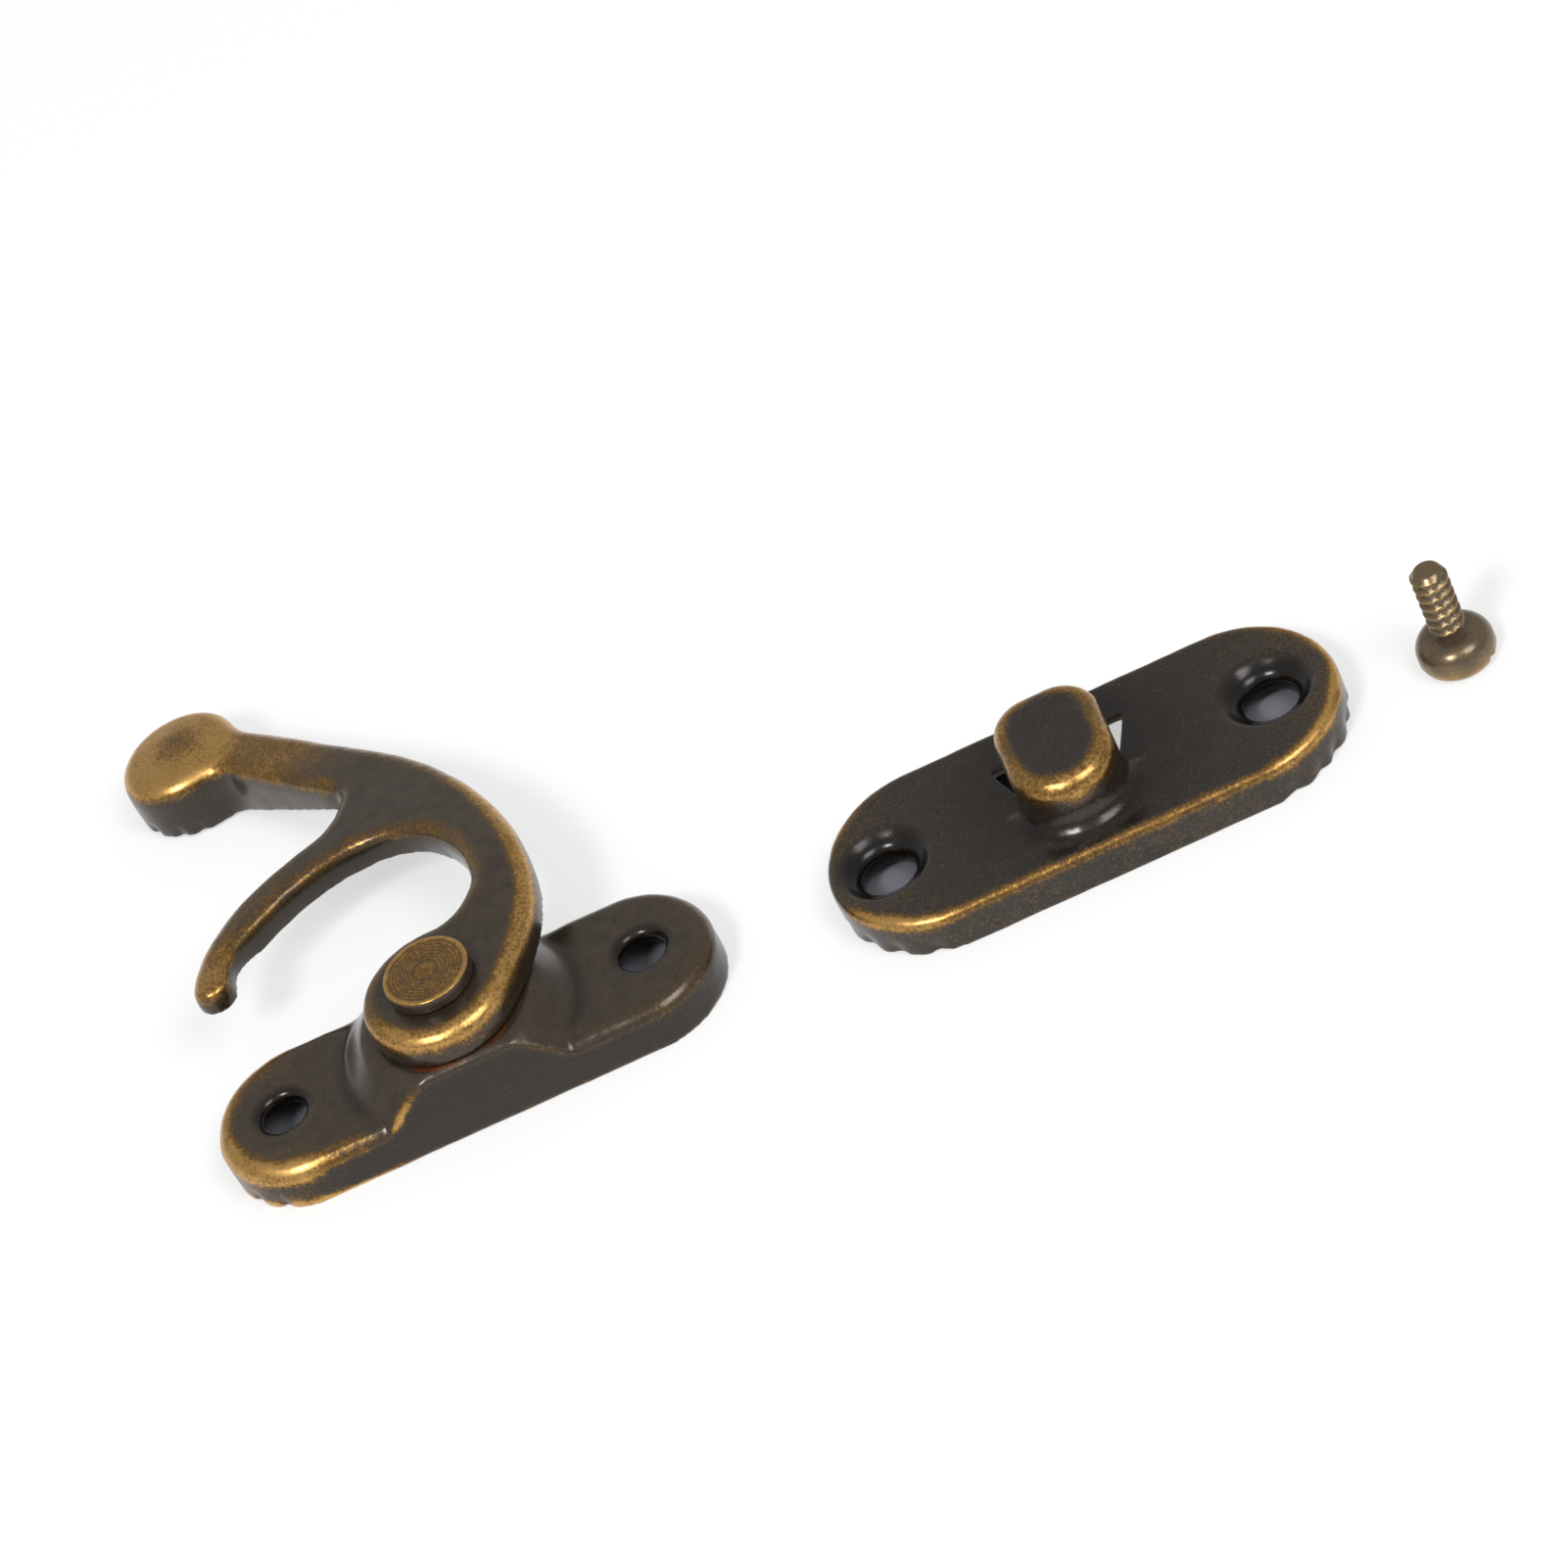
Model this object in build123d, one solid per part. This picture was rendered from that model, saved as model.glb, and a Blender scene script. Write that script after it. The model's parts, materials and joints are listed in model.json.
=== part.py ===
from build123d import *
import math
import os

# Small antique-bronze box latch, in millimetres: a swing hook riveted to its plate, a catch plate with a
# lanced keeper, and one fixing screw. X runs along the hook plate, Z is up off the mounting face at z = 0,
# and the origin is the foot of the pivot axis.

# Sheet and clearances
sheet = 0.6
running_clearance = 0.05
floor_clearance = 0.15

# Hook plate
hook_plate_length = 28.0
hook_plate_width = 9.4
hook_plate_height = 2.8
hook_plate_edge = 1.0
hook_hole_spacing = 20.3
hook_hole_radius = 1.2
hook_dish_radius = 1.8
hook_dish_depth = 0.35
boss_overhang = 0.05
boss_flank = 1.75
boss_height = 1.85
boss_edge = 0.3
boss_lean = 8.0

# Pivot rivet
rivet_head_radius = 2.35
rivet_head_height = 0.85
rivet_head_edge = 0.15
rivet_shank_radius = 1.3
rivet_tail_radius = 2.0
rivet_tail_height = 0.7

# Swing hook, seen from above: its round ends
eye_radius = 4.15
knob_radius = 3.55
knob_x = -10.85
knob_y = 29.7
tip_radius = 1.15
tip_x = -11.6
tip_y = 8.4

# Stations of the hook's plan between the round ends: x, y and heading in degrees, walked anticlockwise
arm_side = (6.6, 6.0, 91.0)
arm_back = (3.6, 16.6, 119.0)
lever_far = (-4.4, 26.5, 131.0)
lever_near = (-6.8, 24.0, -50.0)
crotch_near = (-3.7, 20.3, -50.0)
crotch_deep = (-2.5, 18.5, -105.0)
crotch_far = (-4.3, 16.2, -158.0)
tongue_back = (-9.6, 13.6, -141.0)
tongue_front = (-6.6, 12.4, 29.0)
mouth_top = (-2.1, 13.5, -2.0)
mouth_side = (3.3, 7.0, -91.0)
mouth_foot = (1.9, 4.6, -143.0)

# Swing hook, seen from the side: it falls away from the eye along the slope direction
hook_height = 1.95
hook_edge = 1.0
slope_direction = 120.0
slope_start = 4.6
slope_fall = 0.12
slope_blend = 30.0
skirt_drop_start = 19.0
skirt_drop_end = 27.5
tip_reach = 1.6
tip_run = 3.6
tip_lift = 0.45

# Catch plate, laid beside the hook plate
plate_gap = 6.25
catch_y = -1.2
catch_length = 28.2
catch_width = 11.5
catch_height = 2.45
catch_edge = 0.55
catch_hole_spacing = 21.3
catch_hole_radius = 1.4
catch_dish_radius = 2.4
catch_dish_depth = 0.85
punch_offset = -0.35

# Keeper, lanced out of the catch plate
keeper_offset = -0.2
keeper_width = 5.8
keeper_height = 3.2
keeper_edge = 1.0
keeper_lip = 1.1
keeper_wall_back = -1.05
keeper_hood_back = 3.85
keeper_hood_corner = 2.2
keeper_foot = 1.1
lance_back = 2.75
lance_flare = 0.75

# Wood screw, standing on its pan head beside the catch plate
screw_gap = 5.85
screw_y = -2.4
screw_length = 6.4
screw_head_radius = 2.06
screw_head_height = 1.95
screw_shoulder = 1.08
screw_head_edge = 0.45
screw_shank_radius = 0.96
screw_tip_edge = 0.4
screw_slot_width = 0.55
screw_slot_depth = 0.55
screw_slot_turn = -44.0

# Levels that follow from the sizes above
boss_top_radius = hook_plate_width / 2.0 + boss_overhang
boss_base_radius = boss_top_radius + boss_flank
boss_top = hook_plate_height + boss_height
hook_under = boss_top + running_clearance
hook_top = hook_under + hook_height
rivet_seat = hook_top + running_clearance
catch_sheet_under = catch_height - sheet
keeper_radius = keeper_width / 2.0
catch_x = hook_plate_length / 2.0 + plate_gap + catch_length / 2.0
screw_x = catch_x + catch_length / 2.0 + screw_gap
span = hook_plate_length + catch_length + knob_y
seated = (Align.CENTER, Align.CENTER, Align.MIN)

# Tilts of a face, as the range of its normal's Z, and the bevels that make a rolled rim of radius 1
upright = (-0.01, 0.01)
bevelled = (0.5, 0.85)
level = (0.9, 1.0)
main_bevel = 2.0 - math.sqrt(2.0)
easing_bevel = math.tan(math.pi / 8.0) - math.tan(math.pi / 16.0)


def polar(radius, angle):
    """Point at a radius and an angle in degrees about the origin."""
    turn = math.radians(angle)
    return Vector(radius * math.cos(turn), radius * math.sin(turn))


def on_circle(x, y, radius, angle):
    """Station on a round end, walked anticlockwise."""
    spot = Vector(x, y) + polar(radius, angle)
    return (spot.X, spot.Y, angle + 90.0)


def bent(middle, radius, start, end):
    """Corners of three straight runs round an arc, from one angle to another in degrees."""
    turn = (end - start) / 3.0
    return [middle + polar(radius, start + turn * step) for step in range(4)]


def turned(corners):
    """Solid turned about Z from the corners of its half section."""
    return revolve(Plane.XZ * make_face(Polyline(*corners, close=True)), Axis.Z)


def arc_or_line(start, end, tangent):
    """Arc that leaves the start along the tangent, or a line where that is straight."""
    chord = (end - start).normalized()
    if abs(tangent.cross(chord).Z) < 1e-4:
        return Line(start, end)
    return TangentArc(start, end, tangent=tangent)


def two_arcs(first, second, inset):
    """The two tangent arcs from one station to the next, both stations moved left by the inset."""
    start_heading = polar(1.0, first[2])
    end_heading = polar(1.0, second[2])
    start = Vector(first[0], first[1]) + polar(inset, first[2] + 90.0)
    end = Vector(second[0], second[1]) + polar(inset, second[2] + 90.0)
    gap = end - start
    along = gap.dot(start_heading + end_heading)
    bend = 2.0 * (1.0 - start_heading.dot(end_heading))
    if bend < 1e-6:
        reach = gap.dot(gap) / (2.0 * along)
    else:
        reach = (math.sqrt(along * along + bend * gap.dot(gap)) - along) / bend
    start_corner = start + start_heading * reach
    end_corner = end - end_heading * reach
    middle = (start_corner + end_corner) * 0.5
    middle_heading = (end_corner - start_corner).normalized()
    return [arc_or_line(start, middle, start_heading), arc_or_line(middle, end, middle_heading)]


def hook_outline(inset):
    """Plan of the swing hook as a closed chain of tangent arcs, drawn in by the inset."""
    stations = [
        on_circle(0.0, 0.0, eye_radius, 100.0),
        on_circle(0.0, 0.0, eye_radius, 190.0),
        on_circle(0.0, 0.0, eye_radius, 322.0),
        arm_side,
        arm_back,
        lever_far,
        on_circle(knob_x, knob_y, knob_radius, 14.0),
        on_circle(knob_x, knob_y, knob_radius, 150.0),
        on_circle(knob_x, knob_y, knob_radius, 285.0),
        lever_near,
        crotch_near,
        crotch_deep,
        crotch_far,
        tongue_back,
        on_circle(tip_x, tip_y, tip_radius, 170.0),
        on_circle(tip_x, tip_y, tip_radius, 265.0),
        on_circle(tip_x, tip_y, tip_radius, 358.0),
        tongue_front,
        mouth_top,
        mouth_side,
        mouth_foot,
    ]
    edges = []
    for first, second in zip(stations, stations[1:] + stations[:1]):
        edges.extend(two_arcs(first, second, inset))
    return make_face(edges)


def slope_solid(profile):
    """Solid from a side profile, drawn along the slope direction and up, through the whole hook."""
    turn = math.radians(slope_direction)
    along = (math.cos(turn), math.sin(turn), 0.0)
    across = (math.sin(turn), -math.cos(turn), 0.0)
    return extrude(Plane(origin=(0, 0, 0), x_dir=along, z_dir=across) * profile, span, both=True)


def below_hook_top(drop):
    """Everything under the hook's top, lowered by the drop."""
    level = hook_top - drop
    end = level - slope_fall * (span - slope_start)
    bend = (slope_start, level)
    corners = Polyline((-span, -span), (-span, level), bend, (span, end), (span, -span), close=True)
    profile = make_face(corners)
    ridge = profile.vertices().sort_by_distance(bend)[0]
    return slope_solid(fillet(ridge, slope_blend - drop))


def below_hook_skirt():
    """Everything under the hook's skirt: level at the eye, falling with the arm, then down to the knob."""
    arm_end = hook_under - slope_fall * (skirt_drop_start - slope_start)
    corners = Polyline(
        (-span, -span),
        (-span, hook_under),
        (slope_start, hook_under),
        (skirt_drop_start, arm_end),
        (skirt_drop_end, floor_clearance),
        (span, floor_clearance),
        (span, -span),
        close=True,
    )
    return slope_solid(make_face(corners))


def below_tongue_tip():
    """Everything under the tongue's tip, where the skirt runs out."""
    turn = math.radians(slope_direction)
    along = tip_x * math.cos(turn) + tip_y * math.sin(turn)
    level = hook_under - slope_fall * (along - slope_start)
    cone = Cone(tip_reach + tip_run, tip_reach, 2.0 * tip_lift, align=seated)
    return Pos(tip_x, tip_y, level - tip_lift) * cone


def edges_between(body, first_tilt, second_tilt):
    """Edges where faces of one tilt meet faces of another."""
    first_edges = set()
    for face in body.faces():
        if first_tilt[0] <= face.normal_at().Z <= first_tilt[1]:
            first_edges.update(face.edges())
    shared = ShapeList()
    for face in body.faces():
        if second_tilt[0] <= face.normal_at().Z <= second_tilt[1]:
            shared.extend(edge for edge in face.edges() if edge in first_edges)
    return shared


def rolled(body, radius):
    """A solid with its top rim rolled over in three bevels."""
    body = chamfer(edges_between(body, upright, level), radius * main_bevel)
    borders = edges_between(body, upright, bevelled) + edges_between(body, level, bevelled)
    return chamfer(borders, radius * easing_bevel)


def swing_hook():
    """Drawn sheet hook, open underneath, with its eye, tongue, lever and thumb knob."""
    body = extrude(hook_outline(0.0), span) & below_hook_top(0.0)
    body = rolled(body, hook_edge) - below_hook_skirt() - below_tongue_tip()
    hollow = extrude(hook_outline(sheet), span) & below_hook_top(sheet)
    eye_hole = Cylinder(rivet_shank_radius + running_clearance, span)
    return body - hollow - eye_hole


def plate_block(length, width, height, edge):
    """Obround block with its top edge rolled over."""
    return rolled(extrude(SlotOverall(length, width), height), edge)


def plate_hollow(length, width, height):
    """The room under a plate's sheet."""
    return extrude(SlotOverall(length - 2.0 * sheet, width - 2.0 * sheet), height - sheet)


def dish_metal(radius, hole, depth, top):
    """Metal pressed down round a screw hole."""
    low = top - depth - sheet
    return Pos(0, 0, low) * Cone(hole + sheet, radius + sheet, depth, align=seated)


def dish_cut(radius, hole, depth, top):
    """The dish, rolled over into the screw hole, and the hole through it."""
    roll = ((radius - hole) ** 2 + depth ** 2) / (2.0 * depth)
    lowest = 180.0 - math.degrees(math.asin((roll - depth) / roll))
    flank = bent(Vector(radius, top - roll), roll, lowest, 90.0)
    return turned([(0.0, top - depth), *flank, (0.0, top)]) + Cylinder(hole, 4.0 * top)


def with_screw_holes(body, middle, spacing, dish):
    """A plate with a dished screw hole pressed in at each side of the middle."""
    for side in (-0.5, 0.5):
        place = Pos(middle + side * spacing, 0, 0)
        body = body + place * dish_metal(*dish) - place * dish_cut(*dish)
    return body


def boss_solid(inset):
    """The boss between its leaning front and back, drawn in square to its flank and down by the inset."""
    slant = (boss_base_radius - boss_top_radius) / boss_height
    shift = inset * (slant - math.hypot(1.0, slant))
    rise = boss_height + hook_plate_edge
    low = hook_plate_height - hook_plate_edge
    low_radius = boss_base_radius + slant * hook_plate_edge + shift
    cone = Pos(0, 0, low - inset) * Cone(low_radius, boss_top_radius + shift, rise, align=seated)
    plan = SlotOverall(hook_plate_length - 2.0 * inset, hook_plate_width - 2.0 * inset)
    return cone & Pos(0, 0, low) * extrude(plan, rise, taper=boss_lean)


def hook_plate():
    """Stamped plate with two screw holes and the round boss across its middle."""
    dish = (hook_dish_radius, hook_hole_radius, hook_dish_depth, hook_plate_height)
    boss = boss_solid(0.0)
    boss = chamfer(boss.edges().group_by(Axis.Z)[-1], boss_edge)
    body = plate_block(hook_plate_length, hook_plate_width, hook_plate_height, hook_plate_edge) + boss
    body -= plate_hollow(hook_plate_length, hook_plate_width, hook_plate_height)
    body -= boss_solid(sheet)
    body = with_screw_holes(body, 0.0, hook_hole_spacing, dish)
    return body - Cylinder(rivet_shank_radius, span)


def pivot_rivet():
    """Flat-headed rivet through the eye and the boss, peened under the boss."""
    seat_under = boss_top - sheet
    foot = seat_under - rivet_tail_height
    head = Pos(0, 0, rivet_seat) * Cylinder(rivet_head_radius, rivet_head_height, align=seated)
    head = chamfer(head.edges().group_by(Axis.Z)[-1], rivet_head_edge)
    shank = Pos(0, 0, foot) * Cylinder(rivet_shank_radius, rivet_seat - foot, align=seated)
    tail = Pos(0, 0, foot) * Cone(rivet_shank_radius, rivet_tail_radius, rivet_tail_height, align=seated)
    return head + shank + tail


def half_disc(radius, y):
    """Front half of a disc about a point on the keeper's middle line."""
    front = Pos(0, y - radius) * Rectangle(2.0 * radius, 2.0 * radius)
    return (Pos(0, y) * Circle(radius)) & front


def keeper_plan(inset):
    """The keeper from above, drawn in by the inset: half-round in front, round-cornered at the back."""
    depth = keeper_hood_back - keeper_wall_back - inset
    back = Rectangle(keeper_width - 2.0 * inset, depth, align=(Align.CENTER, Align.MIN))
    back = fillet(back.vertices().group_by(Axis.Y)[-1], keeper_hood_corner - inset)
    return half_disc(keeper_radius - inset, keeper_wall_back) + Pos(0, keeper_wall_back) * back


def keeper_metal():
    """Half-round wall, its flared foot and the round-edged hood over it, in sheet."""
    block = rolled(extrude(keeper_plan(0.0), keeper_height + sheet), keeper_edge)
    room = rolled(extrude(keeper_plan(sheet), keeper_height), keeper_edge - sheet)
    behind = (Align.CENTER, Align.MIN, Align.MIN)
    open_height = keeper_height + sheet - keeper_lip
    mouth = Box(2.0 * keeper_width, 2.0 * keeper_hood_back, open_height, align=behind)
    shell = block - room - Pos(0, keeper_wall_back, 0) * mouth
    return Pos(0, 0, catch_sheet_under) * shell + Pos(0, keeper_wall_back, 0) * keeper_foot_flare()


def keeper_foot_flare():
    """Hollow-cornered foot round the front of the keeper's wall."""
    middle = Vector(keeper_radius + keeper_foot, catch_height + keeper_foot)
    flare = bent(middle, keeper_foot, 270.0, 180.0)
    inner = keeper_radius - sheet / 2.0
    ring = turned([(inner, catch_sheet_under), (middle.X, catch_sheet_under), *flare, (inner, middle.Y)])
    return ring & extrude(half_disc(middle.X, 0.0), span)


def keeper_cut():
    """The hole in the plate's sheet that the keeper was lanced and drawn from."""
    inner = keeper_radius - sheet
    outer = keeper_radius + lance_flare
    hole = Polyline(
        (-inner, keeper_wall_back),
        (inner, keeper_wall_back),
        (outer, lance_back),
        (-outer, lance_back),
        close=True,
    )
    return extrude(half_disc(inner, keeper_wall_back) + make_face(hole), catch_height)


def catch_plate():
    """Stamped plate with two dished screw holes and the lanced keeper."""
    dish = (catch_dish_radius, catch_hole_radius, catch_dish_depth, catch_height)
    body = plate_block(catch_length, catch_width, catch_height, catch_edge)
    body -= plate_hollow(catch_length, catch_width, catch_height)
    body = with_screw_holes(body, punch_offset, catch_hole_spacing, dish)
    keeper_place = Pos(punch_offset + keeper_offset, 0, 0)
    body = body + keeper_place * keeper_metal() - keeper_place * keeper_cut()
    return Pos(catch_x, catch_y, 0) * body


def wood_screw():
    """Slotted pan-head screw with a blunt tip, head down."""
    shoulder_middle = Vector(screw_head_radius - screw_shoulder, screw_head_height - screw_shoulder)
    corners = [
        (0.0, 0.0),
        (screw_head_radius - screw_head_edge, 0.0),
        (screw_head_radius, screw_head_edge),
        *bent(shoulder_middle, screw_shoulder, 0.0, 90.0),
        (screw_shank_radius, screw_head_height),
        (screw_shank_radius, screw_length - screw_tip_edge),
        (screw_shank_radius - screw_tip_edge, screw_length),
        (0.0, screw_length),
    ]
    slot = Box(4.0 * screw_head_radius, screw_slot_width, 2.0 * screw_slot_depth)
    return Pos(screw_x, screw_y, 0) * (turned(corners) - Rot(0, 0, screw_slot_turn) * slot)


os.makedirs("parts", exist_ok=True)
export_step(hook_plate(), "parts/hook_plate.step")
export_step(swing_hook(), "parts/swing_hook.step")
export_step(pivot_rivet(), "parts/pivot_rivet.step")
export_step(catch_plate(), "parts/catch_plate.step")
export_step(wood_screw(), "parts/wood_screw.step")
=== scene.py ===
import json
import math

import bpy
import numpy as np
from bpy.props import FloatProperty, FloatVectorProperty, IntProperty, PointerProperty
from bpy.types import Operator, Panel, PropertyGroup
from mathutils import Matrix, Vector


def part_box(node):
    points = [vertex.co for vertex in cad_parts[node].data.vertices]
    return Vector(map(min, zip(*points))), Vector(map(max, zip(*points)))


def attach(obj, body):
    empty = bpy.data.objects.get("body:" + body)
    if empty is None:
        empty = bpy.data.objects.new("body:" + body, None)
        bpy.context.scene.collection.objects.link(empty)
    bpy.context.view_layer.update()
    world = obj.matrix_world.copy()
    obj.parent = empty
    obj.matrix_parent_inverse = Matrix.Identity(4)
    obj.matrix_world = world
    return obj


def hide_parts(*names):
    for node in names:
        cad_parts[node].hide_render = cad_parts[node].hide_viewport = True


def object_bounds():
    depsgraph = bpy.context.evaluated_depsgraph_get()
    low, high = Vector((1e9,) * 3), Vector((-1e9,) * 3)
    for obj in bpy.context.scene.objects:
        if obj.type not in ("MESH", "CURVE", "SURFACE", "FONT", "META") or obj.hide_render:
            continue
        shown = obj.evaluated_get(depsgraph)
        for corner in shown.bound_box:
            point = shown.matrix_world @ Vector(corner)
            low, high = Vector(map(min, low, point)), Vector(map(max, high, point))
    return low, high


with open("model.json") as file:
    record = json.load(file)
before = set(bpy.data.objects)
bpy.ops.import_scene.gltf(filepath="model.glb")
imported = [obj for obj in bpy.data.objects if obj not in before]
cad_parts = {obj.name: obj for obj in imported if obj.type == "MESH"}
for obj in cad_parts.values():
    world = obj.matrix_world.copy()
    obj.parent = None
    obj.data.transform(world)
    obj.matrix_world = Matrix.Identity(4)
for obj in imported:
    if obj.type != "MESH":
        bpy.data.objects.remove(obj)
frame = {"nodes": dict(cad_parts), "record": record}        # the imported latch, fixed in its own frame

bl_info = {
    "name": "Hasp Latch",
    "version": (1, 0, 0),
    "blender": (4, 5, 0),
    "location": "3D View > Sidebar > Hasp Latch",
    "description": "Dresses a small antique-bronze hasp latch on its packed solids",
    "category": "Object",
}

MM = 0.001
CAD_LOW, CAD_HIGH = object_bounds()

# Named values below are in millimetres and degrees. A pair is the range over which ramp() goes from
# 0 to 1. Wear goes from 0, black, to 1, bare metal.

# Sheet skins: points this close are one, and the share of the way that one round of smoothing goes
SAME_POINT = 0.001
SMOOTH_STEP = 0.5

# A point's facing, as its normal's rise: tops, all that does not face up, and upright sides
TOPS, WALLS, SIDES = (0.3, 0.8), (0.4, 0.0), (0.5, 0.1)

# Edges that stand out and are rubbed, hollows that stay black, and the dark ring round a screw hole
EDGE_HEIGHTS = (0.02, 0.14)
HOLLOW_REACH, HOLLOW_DEPTHS = 0.7, (0.02, 0.16)
HOLE_FADE = 0.8

# Lower edge of a plate's front wall
HEM_WEAR, HEM_RISE, HEM_FRONT = 0.3, (0.1, 0.3), (-2.5, -4.2)

# Pleats: width round the skirt, and how far inside the skirt's rim its wall lies
PLEAT_SPREAD = 4.5
SKIRT_WALL = (1.1, 0.7)

# Rust in the seam under the eye: directions round the pivot and their spread
RUST_PLACES, RUST_SPREAD = (-120.0, -92.0, -58.0), 16.0

# Plating: where the tones lie along the wear, how noise enters the wear, and what the wear drives
TONE_STOPS = (0.0, 0.3, 0.62, 1.0)
NOISE_DETAIL, GRAIN_ROUGHNESS, CLOUD_ROUGHNESS = 4.0, 0.65, 0.6
NOISE_MEAN, CLOUD_SHARE = 0.5, 0.55
WEAR_START, WEAR_SPAN = 0.35, 0.9
RUST_RANGE = (0.25, 0.55)
PATCH_RANGE, PATCH_BLACK = (0.4, 0.7), 0.45
METAL_RANGE = (0.25, 0.6)
GRIT_HEIGHT, GRIT_STRENGTH = 0.02, 0.3

# Colour sockets of the mix node
FACTOR, FIRST, SECOND, MIXED = 0, 6, 7, 2
WHITE = (1.0, 1.0, 1.0, 1.0)


def linear(code):
    """Linear red, green and blue of an sRGB hex code."""
    shades = [int(code[i:i + 2], 16) / 255.0 for i in (1, 3, 5)]
    return tuple(s / 12.92 if s <= 0.04045 else ((s + 0.055) / 1.055) ** 2.4 for s in shades)


def length(name, default, description):
    """A length setting, given in millimetres."""
    return FloatProperty(
        name=name, description=description, default=default * MM, unit="LENGTH", precision=6
    )


def angle(name, default, description):
    """An angle setting, given in degrees."""
    return FloatProperty(
        name=name, description=description, default=math.radians(default), subtype="ANGLE"
    )


def share(name, default, description):
    """A setting from 0 to 1."""
    return FloatProperty(
        name=name, description=description, default=default, min=0.0, max=1.0, subtype="FACTOR"
    )


def amount(name, default, description):
    """A setting of 0 or more."""
    return FloatProperty(name=name, description=description, default=default, min=0.0)


def colour(name, default, description):
    """A colour setting, given as an sRGB hex code."""
    return FloatVectorProperty(
        name=name, description=description, default=linear(default), subtype="COLOR"
    )


class HaspForm(PropertyGroup):
    """Sizes of the small forms that pressing, turning and cutting left on the pieces."""

    sheet: length("Sheet", 0.6, "Thickness of the sheet")
    face_size: length("Face size", 0.11, "Edge of the even faces that the sheet pieces are cut to")
    smoothing: IntProperty(
        name="Smoothing", description="Rounds of smoothing on the sheet", default=10, min=0
    )
    dent_depth: length("Dent depth", 0.07, "Depth of the shallow dents in the pressed sheet")
    dent_size: length("Dent size", 1.7, "Size of the shallow dents in the pressed sheet")
    knob_radius: length("Knob radius", 3.55, "Radius of the thumb knob")
    knob_crown: length("Knob crown", 0.45, "How far the knob's top swells above its rim")
    dish_depth: length("Dish depth", 0.3, "How much deeper the catch plate's dishes are drawn")
    tear_height: length("Tear height", 0.12, "How far the torn skirt edges rise off the floor")
    pleat_depth: length("Pleat depth", 0.15, "How far the skirt ends are gathered in at a pleat")
    pleat_height: length("Pleat height", 1.3, "How far up the skirt the pleats run")
    rivet_seat: length("Rivet seat", 6.7, "Height of the underside of the rivet's head")
    rivet_rim: length("Rivet rim", 0.14, "Round of the rivet head's rim")
    rivet_shank: length("Rivet shank", 1.3, "Radius of the rivet's shank")
    rivet_tail: length("Rivet tail", 2.0, "Radius of the rivet's peened tail")
    ring_spacing: length("Ring spacing", 0.21, "Spacing of the turned rings on the rivet's head")
    ring_depth: length("Ring depth", 0.035, "Depth of one turned ring on the rivet's head")
    screw_head: length("Screw head", 1.95, "Height of the screw's head")
    screw_shoulder: length("Screw shoulder", 1.08, "Round of the screw head's shoulder")
    screw_core: length("Screw core", 0.78, "Radius of the screw between its threads")
    screw_crest: length("Screw crest", 0.96, "Radius of the screw over its threads")
    thread_pitch: length("Thread pitch", 0.6, "Rise of the screw's thread in one turn")
    slot_width: length("Slot width", 0.55, "Width and depth of the slot across the screw's head")
    slot_turn: angle("Slot turn", -44.0, "Direction of the slot across the screw's head")


class HaspFinish(PropertyGroup):
    """Colours and grain of the blackened and rubbed bronze plating."""

    # the soot colour also serves for the shade painted on the steep sides of the hook and its plate
    soot_and_shade: colour("Soot", "#120D09", "Blackened plating where it lies thickest, in the hollows")
    patina: colour("Patina", "#443A2F", "Blackened plating on the hook half")
    catch_patina: colour("Catch patina", "#312B26", "Blackened plating on the catch plate")
    brown: colour("Brown", "#4C3D29", "Plating where the black is thin")
    bronze: colour("Bronze", "#8E6A38", "Rubbed plating")
    bright_bronze: colour("Bright bronze", "#C99E5C", "Plating where it is rubbed most")
    screw_patina: colour("Screw patina", "#3A322A", "Thin blackening on the screw")
    screw_brown: colour("Screw brown", "#5A4D3F", "Plating on the screw where the black is thin")
    screw_bronze: colour("Screw bronze", "#8C7756", "Rubbed plating on the screw")
    rust: colour("Rust", "#703614", "Rust in the seam under the eye")
    speckle: amount("Speckle", 1.4, "Strength of the speckle on the sheet")
    rivet_speckle: amount("Rivet speckle", 1.3, "Strength of the speckle on the rivet")
    screw_speckle: amount("Screw speckle", 0.4, "Strength of the speckle on the screw")
    grain: length("Grain", 0.17, "Size of the speckle where the plating is half rubbed away")
    cloud: length("Cloud", 0.9, "Size of the uneven patches in the rubbing")
    patina_roughness: share("Patina roughness", 0.22, "Roughness of the blackened plating")
    bronze_roughness: share("Bronze roughness", 0.36, "Roughness of the rubbed plating")
    patina_metal: share("Patina metal", 0.4, "How far the blackened plating reflects as metal")
    lacquer: share("Lacquer", 0.15, "Weight of the clear lacquer over the plating")
    lacquer_roughness: share("Lacquer roughness", 0.14, "Roughness of the clear lacquer")


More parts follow.
